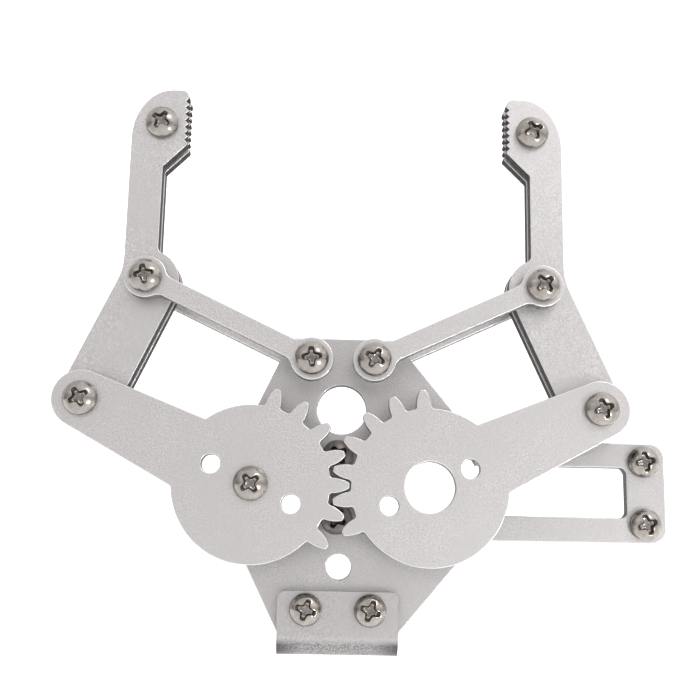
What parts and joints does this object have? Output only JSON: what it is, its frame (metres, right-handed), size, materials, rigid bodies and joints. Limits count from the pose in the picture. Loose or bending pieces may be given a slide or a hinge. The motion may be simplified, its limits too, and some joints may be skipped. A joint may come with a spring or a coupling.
{
  "type": "servo gripper",
  "caption": "Flat-plate two-jaw servo gripper with meshing gear levers, parallel-link serrated jaws, a servo frame arm and a folded wrist bracket.",
  "frame": {"origin": "centre of the wrist flange's hole circle, on the flange's underside", "axes": "+X to the right seen from the front (towards the servo frame arm), +Y to the back (the flange points this way), +Z towards the finger tips"},
  "size_m": [0.0981, 0.0277, 0.092],
  "materials": {
    "blasted_aluminium": "sand-blasted and clear anodised, pale silver",
    "nickel_hardware": "nickel-plated steel screws, nuts and washers, satin to bright",
    "turned_spacers": "turned, fine circular tool marks"
  },
  "bodies": {
    "base": {"base_plate": "blasted_aluminium", "wrist_bracket": "blasted_aluminium", "bracket_screws": "nickel_hardware", "bracket_nuts": "nickel_hardware", "servo_screws": "nickel_hardware", "servo_nuts": "nickel_hardware", "left_gear_screw": "nickel_hardware", "left_gear_bush": "turned_spacers", "left_gear_nut": "nickel_hardware", "link_pivot_screws": "nickel_hardware", "link_pivot_spacers": "turned_spacers", "link_pivot_washers": "nickel_hardware", "link_pivot_nuts": "nickel_hardware"},
    "left_lever": {"left_gear_lever": "blasted_aluminium"},
    "left_link": {"left_front_link": "blasted_aluminium", "left_rear_link": "blasted_aluminium"},
    "left_jaw": {"left_jaw_front_plate": "blasted_aluminium", "left_jaw_rear_plate": "blasted_aluminium", "left_tip_screw": "nickel_hardware", "left_link_screw": "nickel_hardware", "left_lever_screw": "nickel_hardware", "left_jaw_spacers": "turned_spacers", "left_jaw_washers": "nickel_hardware", "left_jaw_nuts": "nickel_hardware"},
    "right_lever": {"right_gear_lever": "blasted_aluminium"},
    "right_link": {"right_front_link": "blasted_aluminium", "right_rear_link": "blasted_aluminium"},
    "right_jaw": {"right_jaw_front_plate": "blasted_aluminium", "right_jaw_rear_plate": "blasted_aluminium", "right_tip_screw": "nickel_hardware", "right_link_screw": "nickel_hardware", "right_lever_screw": "nickel_hardware", "right_jaw_spacers": "turned_spacers", "right_jaw_washers": "nickel_hardware", "right_jaw_nuts": "nickel_hardware"}
  },
  "joints": [
    {"name": "right_lever_swing", "type": "hinge", "parent": "base", "child": "right_lever", "pos_m": [0.014, -0.0145, 0.026], "axis": [0, -1, 0], "range_deg": [0, 63.4]},
    {"name": "left_lever_swing", "type": "hinge", "parent": "base", "child": "left_lever", "pos_m": [-0.014, -0.0145, 0.026], "axis": [0, -1, 0], "range_deg": [-63.4, 0]},
    {"name": "right_jaw_pivot", "type": "hinge", "parent": "right_lever", "child": "right_jaw", "pos_m": [0.04115, -0.0145, 0.03877], "axis": [0, -1, 0], "range_deg": [-63.4, 0]},
    {"name": "left_jaw_pivot", "type": "hinge", "parent": "left_lever", "child": "left_jaw", "pos_m": [-0.04115, -0.0145, 0.03877], "axis": [0, -1, 0], "range_deg": [0, 63.4]},
    {"name": "right_link_swing", "type": "hinge", "parent": "base", "child": "right_link", "pos_m": [0.005, -0.0105, 0.046], "axis": [0, -1, 0], "range_deg": [0, 63.4]},
    {"name": "left_link_swing", "type": "hinge", "parent": "base", "child": "left_link", "pos_m": [-0.005, -0.0105, 0.046], "axis": [0, -1, 0], "range_deg": [-63.4, 0]}
  ],
  "couplings": [
    {"joint": "left_lever_swing", "follows": "right_lever_swing", "ratio": -1},
    {"joint": "right_jaw_pivot", "follows": "right_lever_swing", "ratio": -1},
    {"joint": "left_jaw_pivot", "follows": "right_lever_swing", "ratio": 1},
    {"joint": "right_link_swing", "follows": "right_lever_swing", "ratio": 1},
    {"joint": "left_link_swing", "follows": "right_lever_swing", "ratio": -1}
  ]
}
